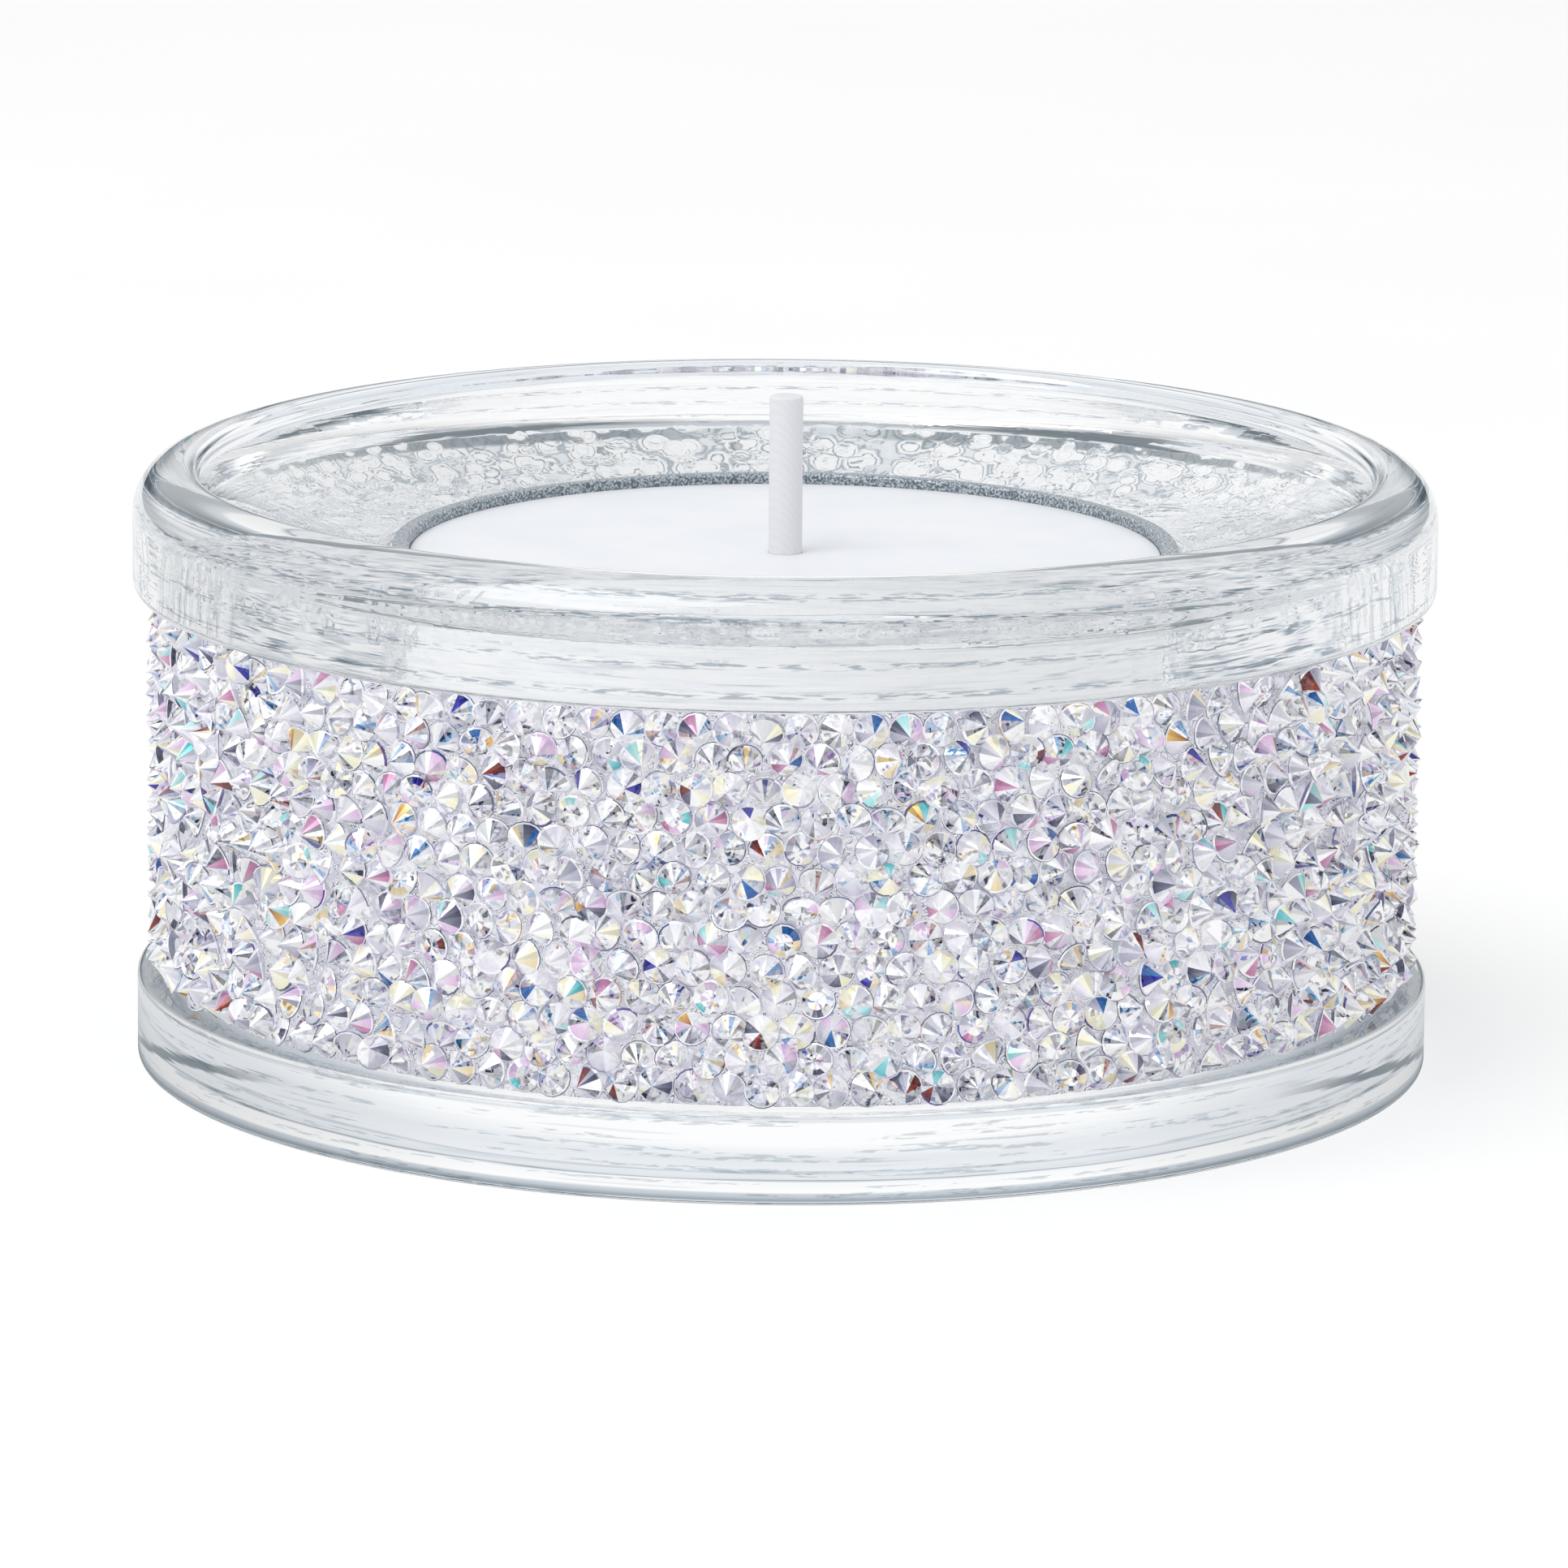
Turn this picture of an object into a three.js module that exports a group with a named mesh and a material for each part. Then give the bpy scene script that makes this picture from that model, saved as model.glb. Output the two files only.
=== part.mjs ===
// A crystal tealight holder: a solid clear glass body with a band of pointed stones set round its side,
// and a tealight that drops into the well in its dish.
// Millimetres, +Z up. The origin is the centre of the flat base.

import * as THREE from "three";

// Glass body
const rimRadius = 32;
const bodyHeight = 29.5;
const rimRingHeight = 6.1;
const rimWidth = 3.2;
const rimCrownRound = 2.4;
const rimLowerRound = 0.5;
const mouthRound = 0.7;
const mouthLipDepth = 1.05;
const bandDepth = 2;
const footHeight = 4.3;
const footInset = 0.15;
const footTopRound = 0.35;
const footBottomRound = 0.3;
const dishSlope = THREE.MathUtils.degToRad(22);
const wellEdgeRound = 0.5;
const wellFloorRound = 0.6;

// Strip of stones
const glueLine = 0.05;
const carrierThickness = 0.3;
const carrierEdgeGap = 0.15;
const seamGap = 0.3;
const stonePitch = 1.65;
const stoneRowPitch = 1.43;
const stoneHeight = 0.95;
const stoneShortfall = 0.3;
const stoneRowGap = 0.1;
const stoneValleyDepth = 0.3;
const stoneDrift = 0.2;

// Tealight
const cupRadius = 19.3;
const cupHeight = 16;
const cupWall = 0.3;
const cupDraft = 0.6;
const cupLipWidth = 0.5;
const cupBottomRound = 0.8;
const cupProud = 0.6;
const wellClearance = 0.7;
const waxBelowLip = 0.5;
const waxGap = 0.05;
const wickRadius = 0.83;
const wickAboveWax = 7.8;
const wickTipBevel = 0.12;
const sustainerRadius = 7.5;
const sustainerThickness = 0.3;
const neckWall = 0.35;
const neckHeight = 4;
const wickGap = 0.03;

// Fineness of the round faces
const glassSides = 60;
const cupSides = 40;
const wickSides = 16;
const smallArcSteps = 2;
const crownArcSteps = 5;

// Heights that follow from the sizes
const rimUnderside = bodyHeight - rimRingHeight;
const mouthRadius = rimRadius - rimWidth;
const bandRadius = rimRadius - bandDepth;
const footRadius = rimRadius - footInset;
const wellRadius = cupRadius + wellClearance;
const dishTop = bodyHeight - mouthLipDepth;
const dishFoot = dishTop - (mouthRadius - wellRadius) * Math.tan(dishSlope);
const cupRim = dishFoot + cupProud;
const wellFloor = cupRim - cupHeight;
const waxTop = cupRim - waxBelowLip;
const cupFloor = wellFloor + cupWall;

const clearGlass = new THREE.MeshStandardMaterial({
  color: 0xe9eff3,
  roughness: 0.03,
  metalness: 0,
  transparent: true,
  opacity: 0.35,
});
const gluedStrip = new THREE.MeshStandardMaterial({ color: 0xcdcbd7, roughness: 0.4, metalness: 0 });
const coatedStone = new THREE.MeshStandardMaterial({
  color: 0xe6e4ee,
  roughness: 0.08,
  metalness: 0.1,
  flatShading: true,
});
const aluminium = new THREE.MeshStandardMaterial({ color: 0x9ba3a9, roughness: 0.4, metalness: 1 });
const whiteWax = new THREE.MeshStandardMaterial({ color: 0xe6e9ee, roughness: 0.5, metalness: 0 });
const waxedCotton = new THREE.MeshStandardMaterial({ color: 0xdcdfe3, roughness: 0.7, metalness: 0 });
const tinnedSteel = new THREE.MeshStandardMaterial({ color: 0xb9bcbf, roughness: 0.35, metalness: 1 });

// Points of an arc in the profile plane, from one angle to another, both ends included.
function arc(centreRadius, centreHeight, radius, fromDegrees, toDegrees, steps = smallArcSteps) {
  const points = [];
  for (let step = 0; step <= steps; step++) {
    const degrees = fromDegrees + ((toDegrees - fromDegrees) * step) / steps;
    const angle = THREE.MathUtils.degToRad(degrees);
    points.push([centreRadius + radius * Math.cos(angle), centreHeight + radius * Math.sin(angle)]);
  }
  return points;
}

// Turns a profile of [radius, height] points, listed anticlockwise, about the Z axis.
function turned(profile, sides) {
  const points = profile.map(([radius, height]) => new THREE.Vector2(Math.max(radius, 0), height));
  const geometry = new THREE.LatheGeometry(points, sides);
  geometry.rotateX(Math.PI / 2);
  return geometry;
}

function named(name, geometry, material) {
  const mesh = new THREE.Mesh(geometry, material);
  mesh.name = name;
  return mesh;
}

// The glass body's section: foot, band, rim ring, lip, dish and well.
function glassBody() {
  const wellEdgeDegrees = 90 - THREE.MathUtils.radToDeg(dishSlope);
  const edgeCentre = wellRadius + wellEdgeRound;
  const edgeRise = wellEdgeRound * Math.tan(dishSlope) - wellEdgeRound / Math.cos(dishSlope);
  const profile = [
    [0, 0],
    ...arc(footRadius - footBottomRound, footBottomRound, footBottomRound, -90, 0),
    ...arc(footRadius - footTopRound, footHeight - footTopRound, footTopRound, 0, 90),
    [bandRadius, footHeight],
    [bandRadius, rimUnderside],
    ...arc(rimRadius - rimLowerRound, rimUnderside + rimLowerRound, rimLowerRound, -90, 0),
    ...arc(rimRadius - rimCrownRound, bodyHeight - rimCrownRound, rimCrownRound, 0, 90, crownArcSteps),
    ...arc(mouthRadius + mouthRound, bodyHeight - mouthRound, mouthRound, 90, 180),
    [mouthRadius, dishTop],
    ...arc(edgeCentre, dishFoot + edgeRise, wellEdgeRound, 180 - wellEdgeDegrees, 180),
    ...arc(wellRadius - wellFloorRound, wellFloor + wellFloorRound, wellFloorRound, 0, -90),
    [0, wellFloor],
  ];
  return named("glass_body", turned(profile, glassSides), clearGlass);
}

// The strip's layout round the band. Angles are measured from the butt joint at the back, the +Y side.
const carrierInner = bandRadius + glueLine;
const carrierOuter = carrierInner + carrierThickness;
const stoneBack = carrierOuter + glueLine;
const stonesAround = Math.round((2 * Math.PI * stoneBack - seamGap) / stonePitch);
const stoneAngle = (2 * Math.PI - seamGap / stoneBack) / stonesAround;
const seamAngle = Math.PI / 2 + seamGap / stoneBack / 2;
const bandHeight = rimUnderside - footHeight - 2 * carrierEdgeGap;
const stoneRows = Math.floor((bandHeight + stoneRowGap) / stoneRowPitch);
const firstRowHeight = footHeight + carrierEdgeGap + (bandHeight - (stoneRows - 1) * stoneRowPitch) / 2;

// A thin flat strip bent round the band, with its two ends face to face at the butt joint.
function carrierStrip() {
  const start = seamAngle;
  const end = seamAngle + stonesAround * stoneAngle;
  const outline = new THREE.Shape();
  outline.absarc(0, 0, carrierOuter, start, end, false);
  outline.absarc(0, 0, carrierInner, end, start, true);
  outline.closePath();
  const geometry = new THREE.ExtrudeGeometry(outline, {
    depth: bandHeight,
    bevelEnabled: false,
    curveSegments: Math.round(stonesAround / 2),
  });
  geometry.translate(0, 0, footHeight + carrierEdgeGap);
  return named("carrier_strip", geometry, gluedStrip);
}

// A number from 0 to 1 that is the same each time for the same stone.
function scatter(row, stone, salt) {
  const wave = Math.sin(row * 127.1 + stone * 311.7 + salt * 74.7) * 43758.5453;
  return wave - Math.floor(wave);
}

// One row of pointed stones. Each stone rises to a point from the glue, and the glue between two stones
// stands up in a low ridge that joins them. Odd rows start half a stone on, and so have one stone less.
function crystalRow(row) {
  const odd = row % 2;
  const stones = stonesAround - odd;
  const height = firstRowHeight + row * stoneRowPitch;
  const halfHeight = (stoneRowPitch - stoneRowGap) / 2;
  const ridgeRadius = stoneBack + stoneValleyDepth;
  const vertices = [];
  const faces = [];
  const point = (radius, angle, z) => {
    vertices.push(radius * Math.cos(angle), radius * Math.sin(angle), z);
    return vertices.length / 3 - 1;
  };
  const boundary = (index) => {
    const angle = seamAngle + (index + odd / 2) * stoneAngle;
    return {
      below: point(stoneBack, angle, height - halfHeight),
      ridge: point(ridgeRadius, angle, height),
      above: point(stoneBack, angle, height + halfHeight),
    };
  };
  const first = boundary(0);
  faces.push(first.below, first.ridge, first.above);
  let left = first;
  for (let stone = 0; stone < stones; stone++) {
    const right = boundary(stone + 1);
    const drift = (scatter(row, stone, 1) - 0.5) * 2 * stoneDrift;
    const rise = (scatter(row, stone, 2) - 0.5) * 2 * stoneDrift * stoneRowPitch;
    const tipAngle = seamAngle + (stone + odd / 2 + 0.5 + drift) * stoneAngle;
    const tipRadius = stoneBack + stoneHeight - stoneShortfall * scatter(row, stone, 3);
    const tip = point(tipRadius, tipAngle, height + rise);
    faces.push(left.below, right.below, tip);
    faces.push(left.ridge, left.below, tip);
    faces.push(right.below, right.ridge, tip);
    faces.push(left.above, left.ridge, tip);
    faces.push(right.ridge, right.above, tip);
    faces.push(right.above, left.above, tip);
    faces.push(left.below, left.above, right.above);
    faces.push(left.below, right.above, right.below);
    left = right;
  }
  faces.push(left.below, left.above, left.ridge);
  const geometry = new THREE.BufferGeometry();
  geometry.setAttribute("position", new THREE.Float32BufferAttribute(vertices, 3));
  geometry.setIndex(faces);
  geometry.computeVertexNormals();
  const label = String(row + 1).padStart(2, "0");
  return named(`crystal_row_${label}`, geometry, coatedStone);
}

// The drawn aluminium cup: flat bottom, drafted wall and a lip turned outward.
const cupMouth = cupRadius - cupLipWidth - cupWall;
const cupFoot = cupMouth + cupWall - cupDraft;
const cupLipThickness = cupWall;

function tealightCup() {
  const lipUnderside = cupRim - cupLipThickness;
  const innerRound = cupBottomRound - cupWall;
  const profile = [
    [0, wellFloor],
    ...arc(cupFoot - cupBottomRound, wellFloor + cupBottomRound, cupBottomRound, -90, 0),
    [cupMouth + cupWall, lipUnderside],
    [cupRadius - cupLipThickness / 2, lipUnderside],
    [cupRadius, lipUnderside + cupLipThickness / 2],
    [cupRadius - cupLipThickness / 2, cupRim],
    [cupMouth, cupRim],
    ...arc(cupFoot - cupBottomRound, cupFloor + innerRound, innerRound, 0, -90),
    [0, cupFloor],
  ];
  return named("tealight_cup", turned(profile, cupSides), aluminium);
}

// The sustainer's disc lies on the cup's floor, and its neck grips the wick.
const sustainerFloor = cupFloor + waxGap;
const sustainerTop = sustainerFloor + sustainerThickness;
const neckInner = wickRadius + wickGap;
const neckOuter = neckInner + neckWall;
const neckTop = sustainerTop + neckHeight;

function wickSustainer() {
  const profile = [
    [neckInner, sustainerFloor],
    [sustainerRadius, sustainerFloor],
    [sustainerRadius, sustainerTop],
    [neckOuter, sustainerTop],
    [neckOuter, neckTop],
    [neckInner, neckTop],
    [neckInner, sustainerFloor],
  ];
  return named("wick_sustainer", turned(profile, cupSides), tinnedSteel);
}

function wick() {
  const top = waxTop + wickAboveWax;
  const profile = [
    [0, sustainerFloor],
    [wickRadius, sustainerFloor],
    [wickRadius, top - wickTipBevel],
    [wickRadius - wickTipBevel, top],
    [0, top],
  ];
  return named("wick", turned(profile, wickSides), waxedCotton);
}

// The wax fills the cup round the sustainer and the wick.
function wax() {
  const bottomRadius = cupFoot - cupWall - waxGap;
  const topRise = (waxTop - cupFloor) / (cupRim - cupFloor);
  const topRadius = cupFoot - cupWall + (cupMouth - cupFoot + cupWall) * topRise - waxGap;
  const bottomRound = cupBottomRound;
  const bottom = cupFloor + waxGap;
  const profile = [
    [sustainerRadius + waxGap, bottom],
    ...arc(bottomRadius - bottomRound, bottom + bottomRound, bottomRound, -90, 0),
    [topRadius, waxTop],
    [wickRadius + wickGap, waxTop],
    [wickRadius + wickGap, neckTop + waxGap],
    [neckOuter + waxGap, neckTop + waxGap],
    [neckOuter + waxGap, sustainerTop + waxGap],
    [sustainerRadius + waxGap, sustainerTop + waxGap],
    [sustainerRadius + waxGap, bottom],
  ];
  return named("wax", turned(profile, cupSides), whiteWax);
}

const holder = new THREE.Group();
holder.add(glassBody(), carrierStrip());
for (let row = 0; row < stoneRows; row++) {
  holder.add(crystalRow(row));
}

const tealight = new THREE.Group();
tealight.add(tealightCup(), wax(), wick(), wickSustainer());

const tealightHolder = new THREE.Group();
tealightHolder.add(holder, tealight);

export default tealightHolder;
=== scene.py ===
import math
import random

import bpy
from mathutils import Matrix, Vector


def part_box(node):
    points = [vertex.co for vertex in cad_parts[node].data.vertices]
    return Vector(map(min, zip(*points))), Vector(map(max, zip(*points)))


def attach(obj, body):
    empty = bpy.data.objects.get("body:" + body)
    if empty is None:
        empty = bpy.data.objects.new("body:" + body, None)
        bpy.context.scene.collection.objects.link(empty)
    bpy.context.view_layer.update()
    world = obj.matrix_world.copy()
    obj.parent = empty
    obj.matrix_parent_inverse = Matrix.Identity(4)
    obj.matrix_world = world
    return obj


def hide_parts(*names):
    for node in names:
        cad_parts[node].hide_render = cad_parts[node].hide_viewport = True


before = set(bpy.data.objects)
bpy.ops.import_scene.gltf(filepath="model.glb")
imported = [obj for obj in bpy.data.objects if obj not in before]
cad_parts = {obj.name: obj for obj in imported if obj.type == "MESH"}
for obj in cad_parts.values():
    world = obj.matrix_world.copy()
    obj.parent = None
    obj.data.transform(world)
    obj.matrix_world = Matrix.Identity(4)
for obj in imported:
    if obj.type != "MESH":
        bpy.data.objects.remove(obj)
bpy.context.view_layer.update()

MM = 0.001
PHOTO_PIXELS = 1932

# Glass body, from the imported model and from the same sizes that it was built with
RIM_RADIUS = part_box("glass_body")[1].x
BODY_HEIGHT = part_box("glass_body")[1].z
RIM_RING_HEIGHT = 6.1 * MM
RIM_WIDTH = 3.2 * MM
RIM_CROWN_ROUND = 2.4 * MM
RIM_LOWER_ROUND = 0.5 * MM
MOUTH_ROUND = 0.7 * MM
MOUTH_LIP_DEPTH = 1.05 * MM
BAND_DEPTH = 2.0 * MM
FOOT_HEIGHT = 4.3 * MM
FOOT_INSET = 0.15 * MM
FOOT_TOP_ROUND = 0.35 * MM
FOOT_BOTTOM_ROUND = 0.3 * MM
DISH_SLOPE = math.radians(22)
WELL_EDGE_ROUND = 0.5 * MM
WELL_FLOOR_ROUND = 0.6 * MM
WELL_CLEARANCE = 0.7 * MM
GLASS_SIDES = 288
# Heights and shares of the painted reflection dashes in the glass's colour
DASH_LINES = (24.3 * MM, 25.7 * MM, 27.8 * MM, 28.8 * MM)
DASH_LINE_HALF_WIDTH = 0.1 * MM
DASHES_ON_FOOT = 0.7
DASHES_BETWEEN = 0.06
ABOVE_FOOT = 0.17
STREAK_ROUGHNESS = 0.55
GLASS_IOR = 1.52
WAVE_DEPTH = 0.035 * MM
RIPPLE_DEPTH = 0.006 * MM
LUMP_DEPTH = 0.03 * MM

CUP_LOW, CUP_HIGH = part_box("tealight_cup")
CUP_RADIUS = CUP_HIGH.x
MOUTH_RADIUS = RIM_RADIUS - RIM_WIDTH
BAND_RADIUS = RIM_RADIUS - BAND_DEPTH
FOOT_RADIUS = RIM_RADIUS - FOOT_INSET
RIM_UNDERSIDE = BODY_HEIGHT - RIM_RING_HEIGHT
WELL_RADIUS = CUP_RADIUS + WELL_CLEARANCE
WELL_FLOOR = CUP_LOW.z
DISH_TOP = BODY_HEIGHT - MOUTH_LIP_DEPTH
DISH_FOOT = DISH_TOP - (MOUTH_RADIUS - WELL_RADIUS) * math.tan(DISH_SLOPE)

# Strip of stones
STRIP_LOW, STRIP_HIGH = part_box("carrier_strip")
SEAM_GAP = 0.3 * MM
STONE_PITCH = 1.65 * MM
STONE_BACK = BAND_RADIUS + 0.4 * MM
STONES_AROUND = round((2 * math.pi * STONE_BACK - SEAM_GAP) / STONE_PITCH)
STONE_ANGLE = (2 * math.pi - SEAM_GAP / STONE_BACK) / STONES_AROUND
SEAM_ANGLE = math.pi / 2 + SEAM_GAP / STONE_BACK / 2
ROW_NODES = sorted(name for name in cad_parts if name.startswith("crystal_row_"))

STONE_SIDES = 16
STONE_FACETS = 8
STONE_FACET_RADIUS = 0.79 * MM
STONE_COLLAR_RADIUS = 0.85 * MM
STONE_GIRDLE_RADIUS = 0.88 * MM
STONE_POINT_HEIGHT = 0.8 * MM
STONE_COLLAR_DEPTH = 0.06 * MM
STONE_GIRDLE_DEPTH = 0.1 * MM
STONE_TABLE_RADIUS = 0.45 * MM
STONE_TABLE_DEPTH = 0.24 * MM
STONE_IOR = 1.6
STONE_SMALLEST = 0.95
STONE_LARGEST = 1.04
STONE_SHARES = (0.52, 0.36, 0.12)
GIRDLE_DISTANCE = BAND_RADIUS + 0.62 * MM
STONE_TILT = math.radians(20)
STONE_LEAN = STONE_TILT / 2
STONE_TILT_LIMIT = math.radians(34)
STONE_DRIFT = 0.14 * MM
STONE_RISE = 0.1 * MM
STONE_SINK = 0.05 * MM
STONE_SEED = 27
FACES_UP = 0.999
FACES_DOWN = -0.9

GLUE_INNER = BAND_RADIUS - 0.02 * MM
GLUE_OUTER = BAND_RADIUS + 0.42 * MM
GLUE_SIDES = 464
GLUE_LAYERS = 52
GLUE_SWELL = 0.05 * MM
GLUE_SEED = 5
INNER_SIDE_LIMIT = GLUE_INNER + 0.01 * MM
DROPS_FROM = 18.2 * MM
TOP_ROW_FROM = 22.4 * MM

# Tealight
CUP_WALL = 0.3 * MM
CUP_LIP_WIDTH = 0.5 * MM
CUP_DRAFT = 0.6 * MM
CUP_BOTTOM_ROUND = 0.8 * MM
CUP_SIDES = 256
WAX_GAP = 0.05 * MM
WAX_LOW, WAX_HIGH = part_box("wax")
WICK_LOW, WICK_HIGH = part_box("wick")
WICK_RADIUS = WICK_HIGH.x
WICK_GAP = 0.03 * MM
WICK_TIP_BEVEL = 0.12 * MM
WICK_SIDES = 48
SUSTAINER_LOW, SUSTAINER_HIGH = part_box("wick_sustainer")
SUSTAINER_THICKNESS = 0.3 * MM
SUSTAINER_SIDES = 96
NECK_WALL = 0.35 * MM

# Camera, found from the outlines of the rim and foot in the photograph
CAMERA_ELEVATION = math.radians(11.97)
CAMERA_DISTANCE = 510.7 * MM
CAMERA_FOCUS_HEIGHT = 14.73 * MM
CAMERA_FOCAL_PIXELS = 12750
CAMERA_CENTRE_PIXEL = (965.19, 931.79)
CAMERA_ROLL = 0.0088
CAMERA_NEAREST = 10 * MM
SENSOR_WIDTH = 36

# Studio. Glass and metal see painted shade on the floor under the foot: grey rings with a slate edge, and a
# painted slate arc at its left and right. They also see a dark horizon, an unlit front, and a greyer left,
# right and top
WHITE = (1, 1, 1, 1)
FLOOR_SIZE = 6
FLOOR_OVERLAP = 0.01 * MM
FLOOR_SHADE_REACH = 64 * MM
SIDE_STRIPE_CENTRE = (0, 24.7 * MM, 0)
SIDE_STRIPE_RADIUS = 34.1 * MM
SIDE_STRIPE_HALF_WIDTH = 0.8 * MM
SIDE_STRIPE_COLOUR = (0.12, 0.16, 0.19, 1)
SIDE_EDGE_COLOUR = (0.26, 0.3, 0.33, 1)
HORIZON_COLOUR = (0.09, 0.12, 0.14, 1)
FRONT_COLOUR = (0.1, 0.14, 0.165, 1)
OVERHEAD_COLOUR = (0.6, 0.64, 0.68, 1)
EVEN_LIGHT = 0.85
LAMP_PLACE = (-0.6, -0.5, 1.1)
LAMP_WIDTH = 0.9
LAMP_WATTS = 6
CLEAR_BOUNCES = 32
MIRROR_BOUNCES = 24

# Rings of the painted shade under the foot, each a share of the foot's radius and a colour as it looks on a
# screen
FOOT_SHADE_RINGS = (
    (0.45, 252, 253, 254), (0.52, 238, 242, 245), (0.58, 228, 233, 238), (0.675, 234, 238, 243),
    (0.685, 186, 196, 204), (0.695, 230, 235, 240), (0.745, 224, 230, 235), (0.755, 136, 148, 158),
    (0.765, 246, 248, 250), (0.86, 255, 255, 255), (0.875, 206, 213, 220), (0.9, 194, 202, 210),
    (0.93, 160, 171, 181), (0.955, 80, 95, 105), (0.985, 62, 78, 88), (0.998, 84, 99, 109),
    (1.01, 220, 226, 230), (1.12, 252, 253, 254),
)

MERGE_DISTANCE = 0.001 * MM
SMOOTH_ANGLE = math.radians(32)


def deselect_everything():
    if bpy.context.object and bpy.context.object.mode != "OBJECT":
        bpy.ops.object.mode_set(mode="OBJECT")
    bpy.ops.object.select_all(action="DESELECT")


def arc(centre_radius, centre_height, radius, start_degrees, end_degrees, steps=6):
    """Points of an arc in the profile plane, both ends included."""
    points = []
    for step in range(steps + 1):
        angle = math.radians(start_degrees + (end_degrees - start_degrees) * step / steps)
        points.append((centre_radius + radius * math.cos(angle), centre_height + radius * math.sin(angle)))
    return points


def turned(name, profile, sides, sweep=2 * math.pi):
    """Draws a profile of (radius, height) points as a line of edges and spins it about the Z axis."""
    deselect_everything()
    bpy.ops.mesh.primitive_plane_add(size=MM, location=(profile[0][0], 0, profile[0][1]))
    piece = bpy.context.object
    piece.name = name
    bpy.ops.object.transform_apply(location=True, rotation=True, scale=True)
    bpy.ops.object.mode_set(mode="EDIT")
    bpy.ops.mesh.select_mode(type="VERT")
    bpy.ops.mesh.merge(type="CENTER")
    for (radius, height), (next_radius, next_height) in zip(profile, profile[1:]):
        step = (next_radius - radius, 0, next_height - height)
        bpy.ops.mesh.extrude_vertices_move(TRANSFORM_OT_translate={"value": step})
    bpy.ops.mesh.select_all(action="SELECT")
    bpy.ops.mesh.remove_doubles(threshold=MERGE_DISTANCE)
    bpy.ops.mesh.spin(steps=sides, angle=sweep, center=(0, 0, 0), axis=(0, 0, 1))
    bpy.ops.mesh.select_all(action="SELECT")
    bpy.ops.mesh.remove_doubles(threshold=MERGE_DISTANCE)
    bpy.ops.mesh.fill_holes(sides=0)
    bpy.ops.mesh.select_all(action="SELECT")
    bpy.ops.mesh.normals_make_consistent(inside=False)
    bpy.ops.object.mode_set(mode="OBJECT")
    bpy.ops.object.shade_smooth_by_angle(angle=SMOOTH_ANGLE)
    return piece


def select_faces(piece, wanted):
    """Leaves edit mode on, with only those faces selected for which wanted(face) is true."""
    bpy.ops.object.mode_set(mode="EDIT")
    bpy.ops.mesh.select_mode(type="FACE")
    bpy.ops.mesh.select_all(action="DESELECT")
    bpy.ops.object.mode_set(mode="OBJECT")
    for face in piece.data.polygons:
        face.select = wanted(face)
    bpy.ops.object.mode_set(mode="EDIT")


def stored(red, green, blue):
    """A colour as it looks on a screen, 0 to 255, as the linear colour that a shader takes."""
    def linear(value):
        share = value / 255
        return share / 12.92 if share <= 0.04045 else ((share + 0.055) / 1.055) ** 2.4

    return (linear(red), linear(green), linear(blue), 1.0)


def new_material(name):
    material = bpy.data.materials.new(name)
    material.use_nodes = True
    nodes = material.node_tree.nodes
    return material, nodes, material.node_tree.links, nodes["Principled BSDF"]


def feed(links, socket, value):
    """Gives a socket its value: another node's output, or a number or colour."""
    if isinstance(value, bpy.types.NodeSocket):
        links.new(value, socket)
    else:
        socket.default_value = value


def combined(nodes, links, operation, first, second=0.0):
    """A Math node on one or two values, each an output or a number."""
    node = nodes.new("ShaderNodeMath")
    node.operation = operation
    feed(links, node.inputs[0], first)
    feed(links, node.inputs[1], second)
    return node.outputs["Value"]


def product(nodes, links, value, *others):
    for other in others:
        value = combined(nodes, links, "MULTIPLY", value, other)
    return value


def vector_math(nodes, links, operation, vector, second=(0, 0, 0)):
    """A Vector Math node. LENGTH and DISTANCE give a number, the other operations a vector."""
    node = nodes.new("ShaderNodeVectorMath")
    node.operation = operation
    node.inputs[1].default_value = second
    links.new(vector, node.inputs[0])
    return node.outputs["Value" if operation in ("LENGTH", "DISTANCE") else "Vector"]


def mixed(nodes, links, factor, first, second, blend="MIX"):
    """Goes from the first colour to the second as the factor goes from 0 to 1."""
    node = nodes.new("ShaderNodeMix")
    node.data_type = "RGBA"
    node.blend_type = blend
    feed(links, node.inputs["Factor"], factor)
    feed(links, node.inputs["A"], first)
    feed(links, node.inputs["B"], second)
    return node.outputs["Result"]


def mixed_shader(nodes, links, factor, first, second):
    node = nodes.new("ShaderNodeMixShader")
    links.new(factor, node.inputs["Fac"])
    links.new(first, node.inputs[1])
    links.new(second, node.inputs[2])
    return node.outputs["Shader"]


def ray_is(nodes, links, kind, other_kind):
    """1 where the light ray is of either kind, otherwise 0."""
    path = nodes.new("ShaderNodeLightPath")
    return combined(nodes, links, "MAXIMUM", path.outputs[kind], path.outputs[other_kind])


def share_of(nodes, links, value, whole, start=0.0):
    """How far the value has come from the start to the whole, kept between 0 and 1."""
    node = nodes.new("ShaderNodeMapRange")
    node.inputs["From Min"].default_value = start
    node.inputs["From Max"].default_value = whole
    links.new(value, node.inputs["Value"])
    return node.outputs["Result"]


def ramp(nodes, links, value, stops, between="LINEAR"):
    """A colour ramp through (position, colour) stops."""
    node = nodes.new("ShaderNodeValToRGB")
    node.color_ramp.interpolation = between
    elements = node.color_ramp.elements
    elements[0].position, elements[0].color = stops[0]
    elements[1].position, elements[1].color = stops[-1]
    for position, colour in stops[1:-1]:
        elements.new(position).color = colour
    links.new(value, node.inputs["Fac"])
    return node.outputs["Color"]


def mask(nodes, links, value, *stops, between="LINEAR"):
    """A grey ramp through (position, level) stops."""
    return ramp(nodes, links, value, [(at, (level, level, level, 1)) for at, level in stops], between)


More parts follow.
